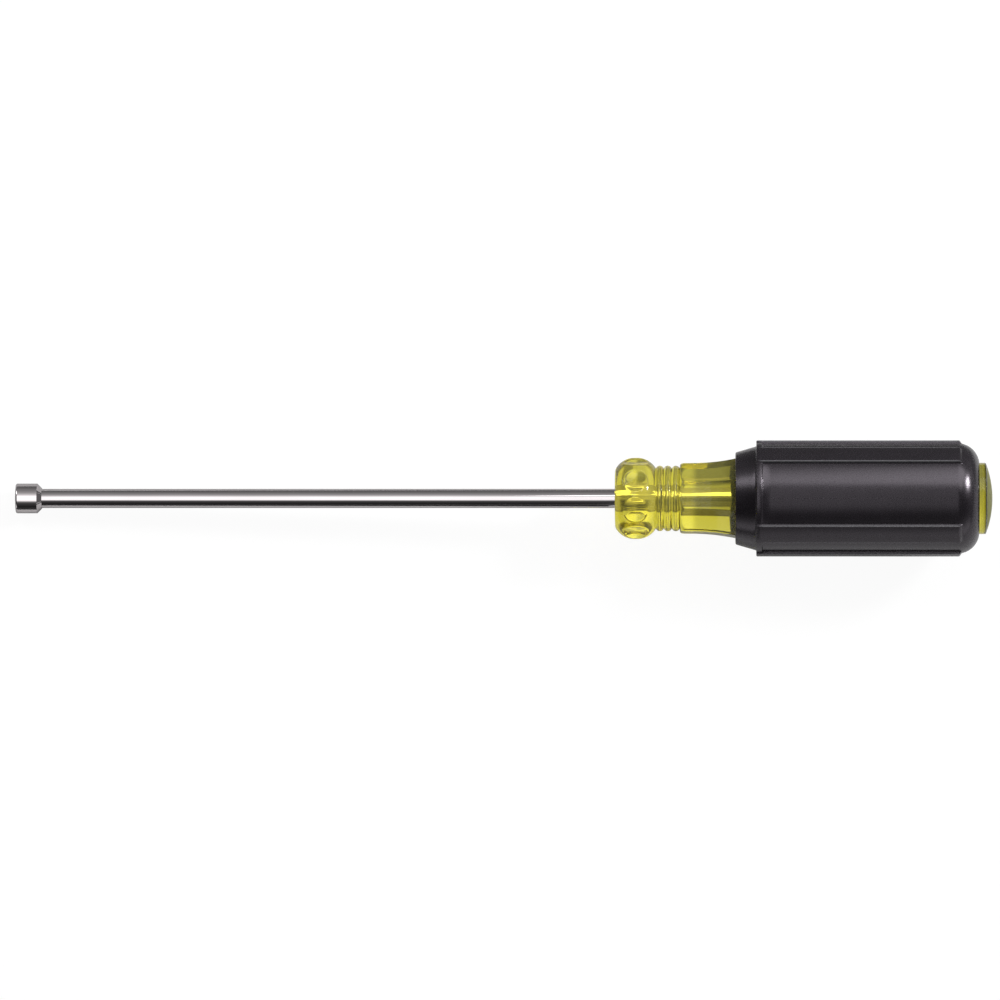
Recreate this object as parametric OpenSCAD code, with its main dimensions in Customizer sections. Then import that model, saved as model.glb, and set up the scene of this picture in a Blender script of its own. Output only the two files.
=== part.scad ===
// Nut driver: hollow shank, clear plastic handle and a black cushion grip, in millimetres.
// The origin is the centre of the socket's mouth. X runs back along the shank to the handle.
// Z points up, out of the middle of the wide bare panel of the grip.

/* [Socket] */
// Nut that the socket takes, across flats
nut_flats = 4.76; // [4:0.01:5]
// Play across the flats between nut and socket
nut_play = 0.09; // [0.05:0.01:0.2]
// Depth of the hexagon
hex_depth = 4.6; // [3.5:0.1:5]
// Outside diameter of the socket
socket_diameter = 7.57; // [7.2:0.01:9]
// Length of the socket's straight wall
socket_wall = 5.45; // [5.2:0.05:9]
// Round of the socket's lip
lip_round = 0.45; // [0.2:0.05:0.6]
// Width of the lead in around the hexagon's corners
lead_in = 0.15; // [0.05:0.05:0.25]
// Height of the step where the socket's cone ends on the shank
cone_step = 0.2; // [0.15:0.05:0.4]

/* [Shank] */
// Shank that shows, from the mouth to the handle
shank_length = 152.4; // [80:0.1:300]
// Outside diameter of the tube
shaft_diameter = 4.85; // [4.5:0.01:5.1]
// Bore of the tube, for the end of a long screw
bore_diameter = 3.2; // [2.6:0.1:3.6]
// Tube hidden in the handle
shaft_depth = 60; // [54:0.5:75]
// Start of the anchor wings, behind the handle's front face
wing_start = 42; // [38:0.5:43]
// Length of the anchor wings
wing_length = 10; // [6:0.5:10]
// Thickness of the anchor wings
wing_thickness = 1.6; // [1.2:0.1:2.4]
// Reach of each wing beyond the tube
wing_reach = 1.5; // [0.8:0.1:2.5]
// Gap all round a pressed joint of the tube
press_gap = 0.02; // [0.01:0.01:0.05]

/* [Handle front] */
// Largest diameter of the ball behind the front face
ball_diameter = 20.6; // [19.5:0.1:22]
// Radius of the ball's profile
ball_round = 5.6; // [5.5:0.05:5.8]
// Middle of the ball, behind the front face
ball_middle = 5.25; // [5:0.05:5.4]
// Straight length across the top of the ball
ball_flat = 0.7; // [0.2:0.1:1]
// From the middle of the ball to the groove behind it
ball_back = 5.05; // [4.9:0.05:5.2]
// Depth of the finger dimples around the ball
dimple_depth = 1; // [0.5:0.1:1.3]
// Radius of the cutter that leaves a dimple
dimple_round = 10; // [8:0.5:14]
// Rings behind the ball
ring_count = 3; // [2:1:4]
// Spacing of the rings
ring_pitch = 2.03; // [1.9:0.01:2.1]
// Diameter over the rings
ring_diameter = 16.64; // [16.2:0.02:17]
// Radius of a ring's profile
ring_round = 1.06; // [1.06:0.01:1.2]

/* [Neck and core] */
// Sides of the neck, and of the core under the grip
side_count = 8; // [6:1:10]
// Diameter over the corners at the front of the neck
neck_diameter = 18.7; // [18.2:0.05:19]
// Round on the corners of the neck and core
corner_trim = 0.045; // [0.02:0.005:0.1]
// Round at the front edge of the neck
neck_nose = 1.3; // [0.8:0.1:1.4]
// Length of the straight front of the neck
neck_straight = 2.9; // [2:0.1:4]
// Radius of the neck's flare
flare_radius = 52; // [45:1:80]

/* [Cushion grip] */
// Front end of the grip, behind the handle's front face
grip_start = 30.5; // [28:0.1:33]
// Length of the grip, to the end of its rounded back
grip_length = 61.85; // [58:0.05:80]
// Diameter at the front of the collar
collar_front = 23.6; // [23:0.1:24.4]
// Diameter at the back of the collar
collar_back = 26.4; // [25.8:0.1:27]
// Length of the collar
collar_length = 5.3; // [4:0.1:7]
// Round of the collar's front edge
collar_round = 0.5; // [0.2:0.05:0.8]
// Diameter of the raised rim, low enough for the tool to lie on a rib
rim_diameter = 28.7; // [28.5:0.02:28.8]
// Width of the raised rim
rim_width = 1.6; // [1:0.1:3]
// Diameter of the panels between the ribs
panel_diameter = 28.04; // [27.6:0.02:28.4]
// Height of the ribs above the panels
rib_height = 0.72; // [0.6:0.02:1]
// Ribs on each side of the one underneath
rib_pairs = 3; // [2:1:3]
// Angle between neighbouring ribs
rib_pitch = 45; // [40:1:46]
// Angle that each rib covers
rib_angle = 22.5; // [14:0.5:30]
// Depth of the flat on the rib underneath, which the tool lies on
flat_depth = 0.33; // [0.3:0.01:0.36]
// Length of the slope at the back end of a rib
rib_run_out = 0.6; // [0.3:0.1:1]
// Radius of the rounded back of the grip
back_round = 5.6; // [5:0.05:5.8]
// Wall of the grip behind the core's shoulder
back_wall = 3.5; // [2.5:0.1:4.5]
// Gap all round between grip and core
grip_gap = 0.05; // [0.02:0.01:0.1]

/* [Butt] */
// Diameter of the butt
butt_diameter = 18.1; // [17.6:0.05:18.4]
// Length of handle that shows behind the grip
butt_length = 3.3; // [2.8:0.05:5]
// Radius of the domed end
dome_radius = 24.8; // [20:0.1:40]
// Round of the butt's edge
butt_edge = 0.4; // [0.2:0.05:0.6]
// Diameter of the size code disc
disc_diameter = 16.6; // [12:0.1:16.6]
// Thickness of the size code disc
disc_thickness = 0.4; // [0.3:0.05:0.8]
// Gap round the edge of the size code disc
disc_gap = 0.03; // [0.02:0.01:0.1]

/* [Hidden] */
$fn = 96;
steel = [0.80, 0.80, 0.82];
clear_yellow = [0.93, 0.83, 0.20, 0.65];
charcoal = [0.13, 0.13, 0.14];
black = [0.05, 0.05, 0.055];

// Overshoot that keeps a cutter clear of the faces it cuts through
over = 1;

socket_radius = socket_diameter / 2;
shaft_radius = shaft_diameter / 2;
bore_radius = bore_diameter / 2;
hex_flats = nut_flats + nut_play;
hex_corner = hex_flats / 2 / cos(30);
mouth_radius = hex_corner + lead_in;
cone_foot = shaft_radius + cone_step;
socket_length = socket_wall + socket_radius - cone_foot;
seat_radius = shaft_radius + press_gap;

ball_radius = ball_diameter / 2;
ring_radius = ring_diameter / 2;
ring_centre = ring_radius - ring_round;
ball_end = ball_middle + ball_back;
rings_end = ball_end + ring_count * ring_pitch;

side_half = 180 / side_count;
neck_radius = neck_diameter / 2;
neck_flat = (neck_radius + corner_trim) * cos(side_half);
flat_flare = flare_radius / cos(side_half);
flare_start = rings_end + neck_straight;
flare_run = grip_start - flare_start;
core_radius = neck_radius + flare_radius - sqrt(pow(flare_radius, 2) - pow(flare_run, 2));
core_flat = neck_flat + flat_flare - sqrt(pow(flat_flare, 2) - pow(flare_run, 2));

rim_start = grip_start + collar_length;
panel_radius = panel_diameter / 2;
rib_radius = panel_radius + rib_height;
grip_end = grip_start + grip_length;
back_start = grip_end - back_round;
core_end = grip_end - back_wall;

butt_radius = butt_diameter / 2;
handle_length = grip_end + butt_length;
dome_centre = handle_length - dome_radius;
edge_centre = butt_radius - butt_edge;
dome_edge = dome_centre + sqrt(pow(dome_radius, 2) - pow(edge_centre, 2));
disc_radius = disc_diameter / 2;

// Turns a profile about the tool's axis. The profile's x is the radius and its y runs along X.
module turned(angle = 360) {
    rotate([0, 90, 0]) rotate_extrude(angle = angle) children();
}

// Carries an outline in Y and Z along X.
module drawn_along(start, length) {
    translate([start, 0, 0]) rotate([90, 0, 90]) linear_extrude(length) children();
}

// Repeats a feature built at the top of the tool around the axis.
module around(count, first) {
    for (i = [0:count - 1])
        rotate([first + i * 360 / count, 0, 0]) children();
}

// Moves a feature measured from the handle's front face into place.
module at_handle() {
    translate([shank_length, 0, 0]) children();
}

// Socket

module socket() {
    color(steel) difference() {
        turned() union() {
            polygon([
                [0, lip_round],
                [socket_radius, lip_round],
                [socket_radius, socket_wall],
                [cone_foot, socket_length],
                [0, socket_length]
            ]);
            square([socket_radius - lip_round, lip_round]);
            translate([socket_radius - lip_round, lip_round]) circle(lip_round);
        }
        drawn_along(-over, hex_depth + over)
            circle(hex_corner, $fn = 6);
        turned() translate([0, hex_depth])
            square([seat_radius, socket_length - hex_depth + over]);
        // Lead in at the mouth
        turned() polygon([[0, -over], [mouth_radius + over, -over], [0, mouth_radius]]);
    }
}

// Shaft

// The tube, or the hole for it, with a gap all round.
module tube_outline(start, end, gap) {
    turned() translate([0, start]) square([shaft_radius + gap, end - start]);
}

// The flat wings coined on the tube, or the pocket for them.
module wings(gap) {
    reach = shaft_radius + wing_reach + gap;
    at_handle() translate([0, 0, -wing_thickness / 2 - gap])
        linear_extrude(wing_thickness + 2 * gap)
            polygon([
                [wing_start - gap, 0],
                [wing_start - gap, reach - wing_reach],
                [wing_start - gap + wing_reach, reach],
                [wing_start + gap + wing_length - wing_reach, reach],
                [wing_start + gap + wing_length, reach - wing_reach],
                [wing_start + gap + wing_length, -reach + wing_reach],
                [wing_start + gap + wing_length - wing_reach, -reach],
                [wing_start - gap + wing_reach, -reach],
                [wing_start - gap, -reach + wing_reach]
            ]);
}

module shaft() {
    color(steel) difference() {
        union() {
            tube_outline(hex_depth, shank_length + shaft_depth, 0);
            wings(0);
        }
        turned() square([bore_radius, shank_length + shaft_depth + over]);
    }
}

// Handle

module ball() {
    difference() {
        turned() intersection() {
            union() {
                for (side = [-1, 1])
                    translate([ball_radius - ball_round, ball_middle + side * ball_flat / 2])
                        circle(ball_round);
                translate([0, ball_middle - ball_flat / 2]) square([ball_radius, ball_flat]);
                square([ring_centre, rings_end + neck_nose]);
            }
            square([ball_radius + over, rings_end + neck_nose]);
        }
        around(side_count, side_half)
            translate([ball_middle, 0, ball_radius - dimple_depth + dimple_round])
                sphere(dimple_round);
    }
}

module rings() {
    turned() for (i = [0:ring_count - 1])
        translate([ring_centre, ball_end + (i + 0.5) * ring_pitch]) circle(ring_round);
}

// The flared octagonal neck: a turned flare with a curved flat cut on each side.
module neck() {
    flat_width = 2 * core_radius;
    difference() {
        turned() difference() {
            union() {
                translate([0, rings_end + neck_nose])
                    square([core_radius, grip_start - rings_end - neck_nose]);
                translate([0, rings_end]) square([neck_radius - neck_nose, neck_nose + over]);
                translate([neck_radius - neck_nose, rings_end + neck_nose]) circle(neck_nose);
            }
            translate([neck_radius + flare_radius, flare_start]) circle(flare_radius);
            translate([neck_radius, rings_end]) square([core_radius, flare_start - rings_end]);
        }
        around(side_count, 0) {
            translate([flare_start, 0, neck_flat + flat_flare]) rotate([90, 0, 0])
                cylinder(r = flat_flare, h = flat_width, center = true);
            translate([rings_end - over, -flat_width / 2, neck_flat])
                cube([flare_start - rings_end + over, flat_width, flat_width]);
        }
    }
}

// The octagonal core, or the hole for it, with a gap all round.
module core_outline(gap) {
    intersection() {
        rotate(side_half) circle((core_flat + gap) / cos(side_half), $fn = side_count);
        circle(core_radius + gap);
    }
}

module butt() {
    turned() union() {
        translate([0, core_end - over]) square([butt_radius, dome_edge - butt_edge - core_end + over]);
        translate([edge_centre, dome_edge - butt_edge]) circle(butt_edge);
        intersection() {
            translate([0, dome_centre]) circle(dome_radius);
            translate([0, core_end]) square([edge_centre, handle_length]);
        }
    }
}

// The curved disc, or the recess for it.
module disc_outline(radius, top) {
    turned() intersection() {
        difference() {
            translate([0, dome_centre]) circle(top);
            translate([0, dome_centre]) circle(dome_radius - disc_thickness);
        }
        translate([0, core_end]) square([radius, handle_length]);
    }
}

module handle() {
    color(clear_yellow) difference() {
        at_handle() difference() {
            union() {
                ball();
                rings();
                neck();
                drawn_along(grip_start, core_end - grip_start) core_outline(0);
                butt();
            }
            disc_outline(disc_radius + disc_gap, dome_radius + over);
        }
        tube_outline(shank_length - over, shank_length + shaft_depth + press_gap, press_gap);
        wings(press_gap);
    }
}

// Cushion grip

module grip_body() {
    collar_slope = (collar_back - collar_front) / 2 / collar_length;
    turned() union() {
        polygon([
            [0, grip_start + collar_round],
            [collar_front / 2 + collar_slope * collar_round, grip_start + collar_round],
            [collar_back / 2, rim_start],
            [rim_diameter / 2, rim_start],
            [rim_diameter / 2, rim_start + rim_width],
            [panel_radius, rim_start + rim_width],
            [panel_radius, back_start],
            [0, back_start]
        ]);
        translate([0, grip_start]) square([collar_front / 2 - collar_round, collar_round]);
        translate([collar_front / 2 - collar_round, grip_start + collar_round]) circle(collar_round);
        translate([panel_radius - back_round, back_start]) circle(back_round);
        translate([0, back_start]) square([panel_radius - back_round, back_round]);
    }
}

module rib() {
    rib_end = back_start + back_round / 5;
    rotate([rib_angle / 2, 0, 0]) mirror([0, 0, 1]) turned(angle = rib_angle) polygon([
        [panel_radius - over, rim_start],
        [rib_radius, rim_start],
        [rib_radius, rib_end - rib_run_out],
        [panel_radius - rib_height / 5, rib_end],
        [panel_radius - over, rib_end]
    ]);
}

module cushion_grip() {
    color(charcoal) at_handle() difference() {
        union() {
            grip_body();
            // A rib on every pitch, except on the wide panel at the top
            for (step = [-rib_pairs:rib_pairs])
                rotate([180 + step * rib_pitch, 0, 0]) rib();
        }
        drawn_along(grip_start - over, core_end - grip_start + over + grip_gap)
            core_outline(grip_gap);
        turned() translate([0, core_end]) square([butt_radius + grip_gap, back_wall + over]);
        translate([rim_start - over, -rib_radius, -rib_radius - over])
            cube([grip_length, 2 * rib_radius, over + flat_depth]);
    }
}

// Size code disc

module size_code_disc() {
    color(black) at_handle() disc_outline(disc_radius, dome_radius);
}

socket();
shaft();
handle();
cushion_grip();
size_code_disc();
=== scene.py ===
"""Looks of the nut driver in metres: grip, clear handle, materials, floor, studio light and camera."""
from math import acos, asin, cos, degrees, pi, radians, sin, sqrt

import bpy
from mathutils import Matrix, Vector


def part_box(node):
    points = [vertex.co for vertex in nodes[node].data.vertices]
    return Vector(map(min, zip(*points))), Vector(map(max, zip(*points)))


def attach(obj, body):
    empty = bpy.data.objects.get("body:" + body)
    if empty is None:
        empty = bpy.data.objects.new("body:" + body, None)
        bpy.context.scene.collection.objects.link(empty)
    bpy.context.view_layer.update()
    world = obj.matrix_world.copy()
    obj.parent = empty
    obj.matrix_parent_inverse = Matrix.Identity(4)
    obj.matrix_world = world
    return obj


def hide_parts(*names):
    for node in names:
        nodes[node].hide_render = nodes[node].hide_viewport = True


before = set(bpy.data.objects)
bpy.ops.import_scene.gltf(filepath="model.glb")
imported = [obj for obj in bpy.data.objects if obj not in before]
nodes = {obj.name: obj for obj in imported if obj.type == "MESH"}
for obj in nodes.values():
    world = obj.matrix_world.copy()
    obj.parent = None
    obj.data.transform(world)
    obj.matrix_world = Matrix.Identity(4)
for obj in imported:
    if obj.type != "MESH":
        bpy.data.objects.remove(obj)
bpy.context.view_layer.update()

mm = 0.001

# Octagon of the neck, the core and the hole of the grip, in degrees
side_turn = 45
side_half = side_turn / 2

# Cushion grip, in millimetres and degrees, from its front face
grip_length = 61.85
hole_mouth = 10.9
hole_flat = 9.86
hole_corner = 10.62
hole_depth = 58.4
butt_hole = 9.1
butt_hole_edge = 0.15
butt_hole_bevel = 0.05
collar_front = 11.8
collar_back = 13.2
collar_length = 5.3
collar_round = 0.5
collar_lean = 6
foot_round = 0.25
foot_bend = 0.07
foot_bend_rise = 0.08
foot_rise = 0.28
rim_radius = 14.33
rim_width = 1.6
rim_round = 0.3
rim_flat_end = 0.4
rim_step_start = 0.3
rim_step = 0.5
panel_radius = 14.02
panel_end = 0.2
back_round = 5.6
flat_height = 14.4

# Ribs of the grip, in millimetres and degrees
rib_radius = 14.73
rib_angles = (45, 90, 135, 180, 225, 270, 315)
rib_half = 11.25
rib_edge = 1.0
rib_rise_start = 4.9
rib_rise_run = 0.4
rib_foot_radius = 13.5
rib_foot_run = 0.5
rib_stop = 56.7
rib_run_out = 0.75

# Pale corners of the ribs, worn and with a painted highlight: place and reach in rib edges, run at both
# ends in millimetres
wear_and_highlight_inset = 0.7
wear_and_highlight_reach = 1.2
wear_and_highlight_run = 2
wear_and_highlight_past = 1

# Handle, in millimetres and degrees, from its front face
front_edge = 7.4
front_round = 0.3
front_inset = 0.25
front_lean = 45
ball_radius = 10.3
ball_round = 5.6
ball_middle = 5.25
ball_flat = 0.7
ball_end = 10.3
dimple_depth = 1.0
dimple_along = 22
dimple_across = 7.2
dimple_blend = 0.16
ring_count = 3
ring_pitch = 2.03
ring_round = 1.06
ring_centre = 7.26
neck_start = 16.39
neck_nose = 1.3
neck_radius = 9.35
neck_flat = 8.68
neck_blend = 0.1
flare_start = 19.29
flare_radius = 52
core_start = 30.5
core_end = 88.85
butt_radius = 9.05
butt_edge = 0.4
# Where painted shade darkens the butt towards the disc, in millimetres from the front face
butt_painted_shade = (92.5, 93.8)
dome_radius = 24.8
dome_centre = 70.85
disc_radius = 8.33
disc_thickness = 0.4
tube_hole = 2.4
tube_bevel = 0.1
tube_depth = 60.02
wing_start = 41.98
wing_end = 52.02
wing_reach = 1.5
wing_thickness = 0.82
shaft_radius = 2.445

# Fineness of the meshes: column step and sharp angle in degrees, the rest in steps
column_step = 2
edge_columns = range(-5, 11)
edge_steps = 6
round_steps = 6
foot_steps = 2
rim_round_steps = 5
rim_steps = 8
panel_steps = 24
back_steps = 36
recess_steps = 8
core_steps = 6
neck_steps = 36
ring_steps = 14
ball_steps = 56
front_steps = 4
sharp_angle = 50

# Where the tool touches the floor
lip_touch = Vector((0.45, 0, -3.785)) * mm
foot_touch = Vector((188.2, 0, -14.41)) * mm

# Camera, in metres, and its lens, in millimetres
camera_x = 0.2
aim_x = 0.12313
aim_y = -0.0004
camera_distance = 2.6
camera_elevation = radians(84.3)
lens = 368.75
sensor_width = 36


# Mesh helpers

def smooth(t):
    """Smooth step from 0 to 1."""
    t = min(max(t, 0), 1)
    return t * t * (3 - 2 * t)


def arc(centre, radius, start, end, steps):
    """Points of an arc in the plane of X and radius; 0 degrees points outwards, 90 backwards."""
    points = []
    for i in range(steps + 1):
        angle = radians(start + (end - start) * i / steps)
        points.append((centre[0] + radius * sin(angle), centre[1] + radius * cos(angle)))
    return points


def line(start, end, steps):
    """Points from start to end, without the start."""
    return [
        (start[0] + (end[0] - start[0]) * i / steps, start[1] + (end[1] - start[1]) * i / steps)
        for i in range(1, steps + 1)
    ]


def off_side(angle):
    """Degrees between an angle and the middle of the nearest side of the octagon."""
    return abs((angle + side_half) % side_turn - side_half)


def ring_vertices(start, columns, rings):
    """Places in metres of rings of X and radius; the lowest rib has a narrow flat."""
    vertices = []
    for ring in rings:
        for angle, (x, radius) in zip(columns, ring):
            turn = radians(angle)
            height = max(radius * cos(turn), -flat_height)
            vertices.append((start + x * mm, radius * sin(turn) * mm, height * mm))
    return vertices


def new_object(name, data):
    """A new object in the scene."""
    made = bpy.data.objects.new(name, data)
    bpy.context.scene.collection.objects.link(made)
    return made


def mesh_object(name, vertices, faces):
    """A new smooth mesh object that rides on the tool."""
    mesh = bpy.data.meshes.new(name)
    mesh.from_pydata(vertices, [], faces)
    mesh.validate()
    mesh.shade_smooth()
    mesh.set_sharp_from_angle(angle=radians(sharp_angle))
    piece = new_object(name, mesh)
    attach(piece, "root")
    return piece


# Cushion grip

def off_rib(angle):
    """Degrees between an angle and the middle of the nearest rib."""
    return min(abs((angle - middle + 180) % 360 - 180) for middle in rib_angles)


def rib_share(angle):
    """How much of a rib's height stands at an angle from the middle of the panel, in degrees."""
    return smooth((rib_half + rib_edge / 2 - off_rib(angle)) / rib_edge)


def rib_wear_and_highlight(angle):
    """How pale the vinyl is at an angle: the corners of the ribs are worn pale and carry a painted
    highlight.
    """
    off = abs(rib_half - wear_and_highlight_inset * rib_edge - off_rib(angle))
    return smooth(wear_and_highlight_reach - off / rib_edge)


def hole_radius(angle):
    """The octagonal hole's radius at an angle in degrees."""
    return min(hole_flat / cos(radians(off_side(angle))), hole_corner)


def grip_columns():
    """Angles of the mesh columns: even steps, with more of them at the rib edges."""
    angles = set(range(0, 360, column_step))
    for middle in rib_angles:
        for side in (-1, 1):
            for i in edge_columns:
                off = side * (rib_half - i * rib_edge / edge_steps)
                angles.add(round((middle + off) % 360, 3))
    return sorted(angles)


def collar_points():
    """X and radius from the mouth of the hole over the collar to the edge of the rim."""
    slope = (collar_back - collar_front) / collar_length
    start = (collar_round, collar_front - collar_round)
    points = [(0, hole_mouth)] + arc(start, collar_round, -90, -collar_lean, round_steps)
    foot_radius = collar_back - slope * foot_round
    points += line(points[-1], (collar_length - foot_round, foot_radius), round_steps)
    points.append((collar_length - foot_bend, foot_radius + foot_bend_rise))
    points.append((collar_length, foot_radius + foot_rise))
    return points + line(points[-1], (collar_length, rim_radius - rim_round), foot_steps)


def grip_profile():
    """Outside of the grip from the front hole to the back hole, as X, radius and rib radius."""
    profile = []
    lift = rib_radius - rim_radius
    for x, radius in collar_points():
        rise = smooth((x - rib_rise_start) / rib_rise_run)
        rise *= smooth((radius - rib_foot_radius) / rib_foot_run)
        profile.append((x, radius, radius + lift * rise))
    rim_middle = (collar_length + rim_round, rim_radius - rim_round)
    for x, radius in arc(rim_middle, rim_round, -90, 0, rim_round_steps)[1:]:
        profile.append((x, radius, radius + lift))
    rim_end = collar_length + rim_width
    profile.append((rim_end - rim_flat_end, rim_radius, rib_radius))
    step_start = rim_end - rim_step_start
    for i in range(1, rim_steps + 1):
        radius = rim_radius + (panel_radius - rim_radius) * smooth(i / rim_steps)
        profile.append((step_start + rim_step * i / rim_steps, radius, rib_radius))
    back_start = grip_length - back_round
    panel = ((step_start + rim_step, panel_radius), (back_start - panel_end, panel_radius))
    for x, radius in line(*panel, panel_steps):
        profile.append((x, radius, rib_radius))
    back_middle = panel_radius - back_round
    back_end = degrees(acos((butt_hole + butt_hole_edge - back_middle) / back_round))
    for x, radius in arc((back_start, back_middle), back_round, 0, back_end, back_steps):
        rib = radius + (rib_radius - radius) * (1 - smooth((x - rib_stop) / rib_run_out))
        profile.append((x, radius, rib))
    return profile


def build_grip():
    """The sleeve as one closed mesh: outside profile, back hole, shoulder and octagonal hole."""
    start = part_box("cushion_grip")[0].x
    columns = grip_columns()
    count = len(columns)
    rings = []
    outside = grip_profile()
    for x, body, rib in outside:
        rings.append([(x, body + (rib - body) * rib_share(angle)) for angle in columns])
    for x in (outside[-1][0] - butt_hole_bevel, hole_depth):
        rings.append([(x, butt_hole)] * count)
    for x in (hole_depth, hole_depth / 2, 0):
        rings.append([(x, hole_radius(angle)) for angle in columns])
    faces = []
    for i in range(len(rings)):
        here = i * count
        ahead = (i + 1) % len(rings) * count
        for j in range(count):
            beside = (j + 1) % count
            faces.append((here + j, ahead + j, ahead + beside, here + beside))
    grip = mesh_object("grip_sleeve", ring_vertices(start, columns, rings), faces)
    # Pale rib corners: partly worn vinyl, partly a painted highlight
    worn_and_lit = [rib_wear_and_highlight(angle) for angle in columns]
    wear_and_highlight = []
    for ring in rings:
        for share, (x, _) in zip(worn_and_lit, ring):
            ends = smooth((x - collar_length) / wear_and_highlight_run) * smooth((rib_stop + wear_and_highlight_past - x) / wear_and_highlight_run)
            wear_and_highlight.append(share * ends)
    grip.data.attributes.new("rib_edge", "FLOAT", "POINT").data.foreach_set("value", wear_and_highlight)
    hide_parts("cushion_grip")
    return grip


# Handle

def soft_min(first, second, width):
    """The smaller of two values, with a round of about that width where they meet."""
    share = min(max(0.5 + 0.5 * (second - first) / width, 0), 1)
    return second + (first - second) * share - width * share * (1 - share)


def ball_surface(x, angle):
    """Radius of the ball with a dimple in every side."""
    off = max(abs(x - ball_middle) - ball_flat / 2, 0)
    outline = ball_radius - ball_round + sqrt(ball_round ** 2 - off ** 2)
    bottom = ball_radius - dimple_depth
    across = bottom * radians(angle % side_turn - side_half)
    dimple = bottom + (x - ball_middle) ** 2 / 2 / dimple_along
    dimple += across ** 2 * (1 / bottom + 1 / dimple_across) / 2
    return soft_min(outline, dimple, dimple_blend)


def flare(start, radius, x):
    """A radius that stays at start and then flares."""
    run = max(x - flare_start, 0)
    return start + radius - sqrt(radius ** 2 - run ** 2)


def neck_surface(x, angle):
    """Radius of the octagonal neck, with a narrow round land on each corner, and of the core behind."""
    x = min(x, core_start)
    flat = flare(neck_flat, flare_radius / cos(radians(side_half)), x)
    flat /= cos(radians(off_side(angle)))
    land = flare(neck_radius, flare_radius, x)
    nose = neck_start + neck_nose
    if x < nose:
        land += sqrt(max(neck_nose ** 2 - (nose - x) ** 2, 0)) - neck_nose
    return soft_min(flat, land, neck_blend)


def tube_surface(x, angle):
    """Radius of the hole for the tube, with a pocket for the wings on it."""
    reach = shaft_radius + min(wing_reach, x - wing_start, wing_end - x)
    turn = radians(angle)
    least = 0.01
    pocket = min(reach / max(abs(sin(turn)), least), wing_thickness / max(abs(cos(turn)), least))
    return max(tube_hole, pocket)


def dome_x(sphere, radius):
    """X where a sphere round the centre of the dome has a radius."""
    return dome_centre + sqrt(sphere ** 2 - radius ** 2)


def handle_rings(columns):
    """Rings of X and radius from the disc's recess over the outside to the end of the tube's hole."""
    rings = []

    def add_round(points):
        for point in points:
            rings.append([point] * len(columns))

    def add_shaped(surface, places):
        for x in places:
            rings.append([(x, surface(x, angle)) for angle in columns])

    recess = dome_radius - disc_thickness
    radii = [disc_radius * i / recess_steps for i in range(1, recess_steps + 1)]
    add_round([(dome_x(recess, radius), radius) for radius in radii])
    add_round([(dome_x(dome_radius, disc_radius), disc_radius)])
    edge_middle = butt_radius - butt_edge
    butt_end = dome_x(dome_radius, edge_middle) - butt_edge
    add_round(arc((butt_end, edge_middle), butt_edge, 90, 0, round_steps))
    add_round(line((butt_end, butt_radius), (core_end, butt_radius), core_steps))
    core_run = core_start - core_end
    add_shaped(neck_surface, [core_end + core_run * i / core_steps for i in range(core_steps + 1)])
    neck_run = neck_start - core_start
    turns = [i / neck_steps * pi / 2 for i in range(1, neck_steps + 1)]
    add_shaped(neck_surface, [core_start + neck_run * sin(turn) for turn in turns])
    ring_end = degrees(asin(ring_pitch / 2 / ring_round))
    for i in reversed(range(ring_count)):
        middle = ball_end + (i + 0.5) * ring_pitch
        points = arc((middle, ring_centre), ring_round, ring_end, -ring_end, ring_steps)
        add_round(points if i == ring_count - 1 else points[1:])
    add_shaped(ball_surface, [ball_end * (1 - i / ball_steps) for i in range(ball_steps)])
    front_middle = (front_round, front_edge - front_inset)
    add_round(arc(front_middle, front_round, -front_lean, -90, front_steps))
    add_round([(0, tube_hole + tube_bevel)])
    add_round([(x, tube_hole) for x in (tube_bevel, wing_start / 2, wing_start)])
    add_shaped(tube_surface, (wing_start + wing_reach, wing_end - wing_reach))
    add_round([(x, tube_hole) for x in (wing_end, tube_depth)])
    return rings


def build_handle():
    """The clear handle as one closed mesh; the tube is a press fit in it."""
    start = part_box("handle")[0].x
    columns = [i + 0.5 for i in range(360)]
    count = len(columns)
    rings = handle_rings(columns)
    vertices = [(start + (dome_centre + dome_radius - disc_thickness) * mm, 0, 0)]
    vertices += ring_vertices(start, columns, rings)
    vertices.append((start + tube_depth * mm, 0, 0))
    last = len(vertices) - 1
    faces = []
    for j in range(count):
        beside = (j + 1) % count
        faces.append((0, 1 + beside, 1 + j))
        faces.append((last, last - count + j, last - count + beside))
    for i in range(len(rings) - 1):
        here = 1 + i * count
        ahead = here + count
        for j in range(count):
            beside = (j + 1) % count
            faces.append((here + j, here + beside, ahead + beside, ahead + j))
    handle = mesh_object("handle_core", vertices, faces)
    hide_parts("handle")
    return handle


# Material helpers

noise_low = 0.3
noise_high = 0.7


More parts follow.
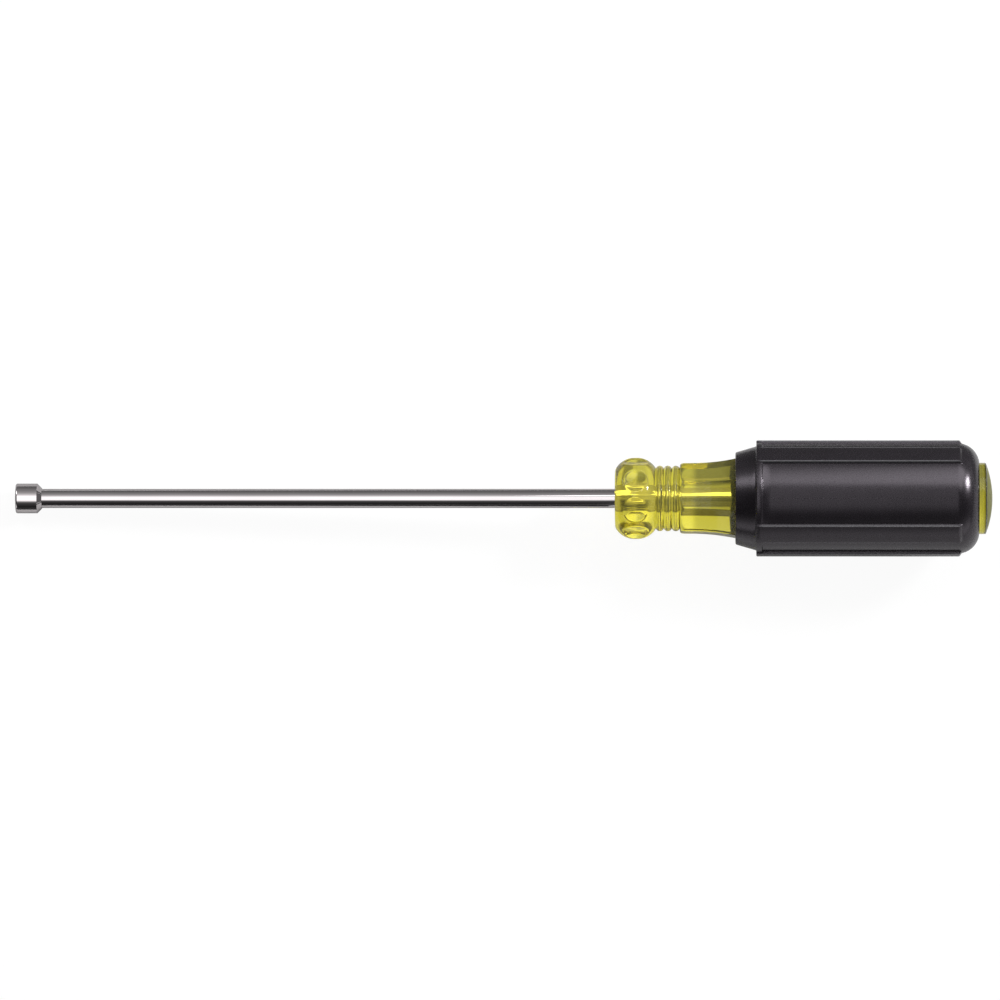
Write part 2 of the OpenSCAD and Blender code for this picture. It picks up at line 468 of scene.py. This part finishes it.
class Graph:
    """The nodes of a material or of the world, with short calls for new ones."""

    def __init__(self, owner):
        owner.use_nodes = True
        self.tree = owner.node_tree

    def feed(self, socket, value):
        """Links an output to a socket, or sets the socket to a plain value."""
        if isinstance(value, bpy.types.NodeSocket):
            self.tree.links.new(value, socket)
        else:
            socket.default_value = value

    def node(self, kind, inputs=None, **settings):
        """A new node; inputs has a value or an output for each socket's name or number."""
        made = self.tree.nodes.new(kind)
        for key, value in settings.items():
            setattr(made, key, value)
        for key, value in (inputs or {}).items():
            self.feed(made.inputs[key], value)
        return made

    def math(self, operation, *values):
        """The result of a sum on plain values or outputs."""
        return self.node("ShaderNodeMath", dict(enumerate(values)), operation=operation).outputs["Value"]

    def axes(self, place):
        """X, Y and Z of a place or a direction."""
        return self.node("ShaderNodeSeparateXYZ", {"Vector": place}).outputs

    def spread(self, source, start, end, low=0, high=1, kind="LINEAR"):
        """Maps a value from start and end to low and high."""
        inputs = {"Value": source, "From Min": start, "From Max": end, "To Min": low, "To Max": high}
        return self.node("ShaderNodeMapRange", inputs, interpolation_type=kind).outputs["Result"]

    def ramp(self, source, stops):
        """A colour ramp; each stop is a position and a colour."""
        made = self.node("ShaderNodeValToRGB", {"Fac": source})
        elements = made.color_ramp.elements
        while len(elements) < len(stops):
            elements.new(0.5)
        for element, (position, colour) in zip(elements, stops):
            element.position = position
            element.color = (*colour, 1)
        return made.outputs["Color"]

    def blend(self, share, first, second):
        """A colour between two colours."""
        made = self.node("ShaderNodeMix", data_type="RGBA")
        sockets = {socket.identifier: socket for socket in (*made.inputs, *made.outputs)}
        self.feed(sockets["Factor_Float"], share)
        self.feed(sockets["A_Color"], first)
        self.feed(sockets["B_Color"], second)
        return sockets["Result_Color"]

    def choose(self, share, first, second):
        """A shader between two shaders."""
        return self.node("ShaderNodeMixShader", {"Fac": share, 1: first, 2: second}).outputs["Shader"]


class Look(Graph):
    """A material with a Principled shader."""

    def __init__(self, name):
        self.material = bpy.data.materials.new(name)
        super().__init__(self.material)
        self.shader = self.tree.nodes["Principled BSDF"]
        self.place = self.node("ShaderNodeTexCoord").outputs["Object"]
        self.normal = None

    def set(self, **values):
        """Gives the shader's sockets plain values or outputs."""
        for key, value in values.items():
            self.feed(self.shader.inputs[key.replace("_", " ")], value)

    def noise(self, scale, detail=2, stretch=(1, 1, 1)):
        """Noise in object space; scale is in cells per metre."""
        place = self.node("ShaderNodeMapping", {"Vector": self.place, "Scale": stretch}).outputs["Vector"]
        inputs = {"Vector": place, "Scale": scale, "Detail": detail}
        return self.node("ShaderNodeTexNoise", inputs).outputs["Fac"]

    def vary(self, noise, low, high):
        """A value that follows a noise between low and high."""
        return self.spread(noise, noise_low, noise_high, low, high)

    def tint(self, noise, low, high):
        """A colour that follows a noise between two colours."""
        return self.ramp(noise, ((noise_low, low), (noise_high, high)))

    def bump(self, height, strength, distance):
        """Adds a bump to those before it; the distance is in metres."""
        inputs = {"Strength": strength, "Distance": distance, "Height": height}
        if self.normal is not None:
            inputs["Normal"] = self.normal
        self.normal = self.node("ShaderNodeBump", inputs).outputs["Normal"]
        self.set(Normal=self.normal)


def dress(piece, look):
    """Gives a piece one material."""
    piece.data.materials.clear()
    piece.data.materials.append(look.material)


# Materials

def chrome(name):
    """Bright chrome with faint drawing marks along the tool."""
    look = Look(name)
    drawn = look.noise(scale=900, detail=3, stretch=(0.05, 1, 1))
    cloud = look.noise(scale=120)
    look.set(
        Metallic=1.0,
        Base_Color=look.tint(drawn, (0.555, 0.52, 0.53), (0.615, 0.58, 0.59)),
        Specular_Tint=(0.7, 0.7, 0.7, 1),
        Roughness=look.vary(cloud, 0.02, 0.05),
    )
    look.bump(drawn, strength=0.04, distance=0.00002)
    return look


def vinyl():
    """Black vinyl with a fine grain, worn pale on the corners of the ribs, with a painted highlight
    there.
    """
    look = Look("grip_vinyl")
    cloud = look.noise(scale=140, detail=3)
    grain = look.noise(scale=2600, detail=3)
    black = look.tint(cloud, (0.008, 0.0068, 0.0084), (0.011, 0.0094, 0.0116))
    # The pale rib corners are partly worn and partly a painted highlight
    wear_and_highlight = look.node("ShaderNodeAttribute", attribute_name="rib_edge").outputs["Fac"]
    look.set(
        Base_Color=look.blend(look.spread(wear_and_highlight, 0.1, 1), black, (0.1, 0.1, 0.105, 1)),
        Specular_IOR_Level=0.6,
        Specular_Tint=(0.98, 0.89, 1, 1),
        Roughness=look.vary(grain, 0.22, 0.30),
    )
    look.bump(cloud, strength=0.1, distance=0.0002)
    look.bump(grain, strength=0.03, distance=0.00004)
    return look


def clear_plastic():
    """Clear yellow plastic, with painted shade that darkens the butt towards the disc."""
    look = Look("clear_plastic")
    cloud = look.noise(scale=160)
    flow = look.noise(scale=90, stretch=(0.4, 1, 1))
    yellow = look.tint(flow, (0.92, 0.91, 0.28), (0.95, 0.95, 0.34))
    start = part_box("handle")[0].x
    # Painted shade: the colour of the butt darkens towards the disc
    shade = look.spread(look.axes(look.place)["X"], *[start + x * mm for x in butt_painted_shade])
    look.set(
        Base_Color=look.blend(shade, yellow, (0.13, 0.13, 0.02, 1)),
        Transmission_Weight=0.92,
        IOR=1.48,
        Specular_Tint=(0.35, 0.35, 0.35, 1),
        Roughness=look.vary(cloud, 0.04, 0.08),
    )
    look.bump(cloud, strength=0.02, distance=0.0002)
    absorb = look.node("ShaderNodeVolumeAbsorption", {"Color": (0.87, 0.80, 0.0, 1), "Density": 90})
    look.feed(look.tree.nodes["Material Output"].inputs["Volume"], absorb.outputs["Volume"])
    return look


def code_disc():
    """Dull dark paint."""
    look = Look("code_disc")
    cloud = look.noise(scale=500, detail=3)
    look.set(
        Base_Color=look.tint(cloud, (0.11, 0.11, 0.025), (0.14, 0.14, 0.035)),
        Specular_IOR_Level=0.05,
        Roughness=look.vary(cloud, 0.25, 0.4),
    )
    look.bump(look.noise(scale=3000), strength=0.1, distance=0.00003)
    return look


# Floor and cards, in metres

floor_half = 4.0
floor_grey = (0.5, 0.5, 0.5, 1)
floor_glow = 1.1
floor_glow_shares = (("Is Camera Ray", 0.86), ("Is Glossy Ray", 0.21))
card_lift = 0.5 * mm


def stage_plane(name, corners):
    """A plane with four corners, and its material, which is still empty."""
    mesh = bpy.data.meshes.new(name)
    mesh.from_pydata(corners, [], [(0, 1, 2, 3)])
    material = bpy.data.materials.new(name)
    mesh.materials.append(material)
    graph = Graph(material)
    graph.tree.nodes.remove(graph.tree.nodes["Principled BSDF"])
    return new_object(name, mesh), graph


def build_floor():
    """A wide pale plane under the socket's lip and the lowest rib; rays through the plastic pass it."""
    along = (foot_touch - lip_touch).normalized() * floor_half
    across = Vector((0, floor_half, 0))
    middle = (foot_touch + lip_touch) / 2
    signs = ((-1, -1), (1, -1), (1, 1), (-1, 1))
    floor, graph = stage_plane("floor", [middle + along * a + across * b for a, b in signs])
    rays = graph.node("ShaderNodeLightPath").outputs
    share = 0
    for ray, part in floor_glow_shares:
        share = graph.math("MULTIPLY_ADD", rays[ray], part, share)
    paint = graph.node("ShaderNodeBsdfDiffuse", {"Color": floor_grey}).outputs["BSDF"]
    glow = graph.node("ShaderNodeEmission", {"Strength": floor_glow}).outputs["Emission"]
    gone = graph.node("ShaderNodeBsdfTransparent").outputs["BSDF"]
    surface = graph.choose(rays["Is Transmission Ray"], graph.choose(share, paint, glow), gone)
    graph.feed(graph.tree.nodes["Material Output"].inputs["Surface"], surface)


def build_card(name, x_range, y_range, brightness):
    """A card that lies on the floor beside the tool and shows only in its reflections."""
    slope = (foot_touch.z - lip_touch.z) / (foot_touch.x - lip_touch.x)
    corners = []
    for i, j in ((0, 0), (1, 0), (1, 1), (0, 1)):
        height = lip_touch.z + slope * (x_range[i] - lip_touch.x) + card_lift
        corners.append((x_range[i], y_range[j], height))
    card, graph = stage_plane(name, corners)
    glow = graph.node("ShaderNodeEmission", {"Strength": brightness}).outputs["Emission"]
    graph.feed(graph.tree.nodes["Material Output"].inputs["Surface"], glow)
    card.visible_camera = False
    card.visible_diffuse = False
    card.visible_transmission = False
    card.visible_shadow = False


# Light of the studio by angle from straight up towards +Y, in degrees, with its brightness

over_shank = (
    (-180, 0.5), (-104, 0.5), (-90, 0.05), (-73, 0.02), (-48, 0.065), (-38, 0.14),
    (-31, 0.5), (-21, 1.8), (11, 1.8), (20, 1.1), (28, 0.75), (41, 0.46),
    (55, 0.33), (85, 0.17), (100, 0.15), (120, 0.45), (180, 0.5),
)
over_handle = (
    (-180, 0.5), (-104, 0.7), (-90, 1.3), (-80, 1.2), (-66, 0.4), (-50, 0.03), (0, 0.03),
    (20, 0.18), (41, 0.4), (69, 0.3), (85, 0.2), (100, 0.2), (120, 0.45), (180, 0.5),
)
through_ball = (
    (-180, 1.15), (-165, 0.65), (-140, 0.65), (-100, 1.0), (-75, 0.8), (-60, 0.45), (-15, 0.45),
    (0, 1.0), (30, 1.5), (60, 1.2), (120, 1.2), (150, 1.35), (180, 1.15),
)
through_neck = (
    (-180, 0.35), (-165, 0.2), (-75, 0.27), (-45, 0.1), (-30, 0.1), (-10, 0.4), (15, 0.8),
    (40, 0.95), (58, 1.5), (70, 1.1), (85, 0.6), (120, 0.65), (150, 0.8), (180, 0.35),
)
brightest = 1.8
end_light = 0.17
plain_light = 0.9

# Limits of those lights, by the X of the direction
shank_middle = -0.1
shank_limit = (0.084, 0.094)
end_limit = (0.72, 0.9)
ball_limit = (-0.03, 0.03)
plain_limit = (0.25, 0.4)


def build_world():
    """A long soft strip above the shank, a pale side and a dark side; the camera sees white."""
    world = bpy.data.worlds.new("studio")
    bpy.context.scene.world = world
    graph = Graph(world)
    rays = graph.node("ShaderNodeLightPath").outputs
    axes = graph.axes(graph.node("ShaderNodeTexCoord").outputs["Generated"])
    turned = graph.spread(graph.math("ARCTAN2", axes["Y"], axes["Z"]), -pi, pi)

    def grey(brightness):
        return (brightness / brightest,) * 3

    def light(stops):
        return graph.ramp(turned, [((angle + 180) / 360, grey(bright)) for angle, bright in stops])

    def beyond(source, limit):
        return graph.spread(source, *limit, kind="SMOOTHSTEP")

    def off(middle):
        return graph.math("ABSOLUTE", graph.math("SUBTRACT", axes["X"], middle))

    sides = graph.blend(beyond(off(shank_middle), shank_limit), light(over_shank), light(over_handle))
    around = graph.blend(beyond(off(0), end_limit), sides, (*grey(end_light), 1))
    inner = graph.blend(beyond(axes["X"], ball_limit), light(through_ball), light(through_neck))
    through = graph.blend(beyond(off(0), plain_limit), inner, (*grey(plain_light), 1))
    colour = graph.blend(rays["Is Transmission Ray"], around, through)
    studio = graph.tree.nodes["Background"]
    graph.feed(studio.inputs["Color"], colour)
    graph.feed(studio.inputs["Strength"], brightest)
    white = graph.node("ShaderNodeBackground", {"Color": (1, 1, 1, 1)}).outputs["Background"]
    surface = graph.choose(rays["Is Camera Ray"], studio.outputs["Background"], white)
    graph.feed(graph.tree.nodes["World Output"].inputs["Surface"], surface)


def build_lamp(name, place, target, size, power):
    """A soft box that shines on the target and stays out of the picture."""
    data = bpy.data.lights.new(name, "AREA")
    data.shape = "RECTANGLE"
    data.size, data.size_y = size
    data.energy = power
    lamp = new_object(name, data)
    lamp.location = place
    lamp.rotation_euler = (Vector(target) - Vector(place)).to_track_quat("-Z", "X").to_euler()
    lamp.visible_camera = False


def build_camera():
    """A long lens almost straight above the handle, turned to the middle of the tool."""
    data = bpy.data.cameras.new("camera")
    data.lens = lens
    data.sensor_width = sensor_width
    camera = new_object("camera", data)
    place = Vector((
        camera_x,
        aim_y - camera_distance * cos(camera_elevation),
        camera_distance * sin(camera_elevation),
    ))
    forward = (Vector((aim_x, aim_y, 0)) - place).normalized()
    up = Vector((1, 0, 0)).cross(forward).normalized()
    right = forward.cross(up)
    turn = Matrix((right, up, -forward)).transposed()
    camera.matrix_world = Matrix.Translation(place) @ turn.to_4x4()
    bpy.context.scene.camera = camera


dress(build_grip(), vinyl())
dress(nodes["socket"], chrome("socket_chrome"))
dress(nodes["shaft"], chrome("shank_chrome"))
dress(build_handle(), clear_plastic())
dress(nodes["size_code_disc"], code_disc())
build_floor()
build_card("dark_card", x_range=(-0.3, 0.15), y_range=(-0.6, -0.028), brightness=0.03)
build_card("grey_card", x_range=(-0.3, 0.5), y_range=(0.028, 0.6), brightness=0.17)
build_card("white_card", x_range=(0.17, 0.3), y_range=(-0.4, -0.03), brightness=0.7)
build_world()
build_lamp("key", place=(0.42, 0.53, 0.60), target=(0.21, 0, 0), size=(0.65, 0.5), power=3.0)
build_lamp("side", place=(1.03, 0.44, 0.53), target=(0.24, 0, 0), size=(0.22, 0.22), power=11.5)
build_lamp("left", place=(-0.40, 0.55, 0.58), target=(0.18, 0, 0), size=(0.5, 0.3), power=1.6)
build_camera()
bpy.context.scene.view_settings.view_transform = "Standard"
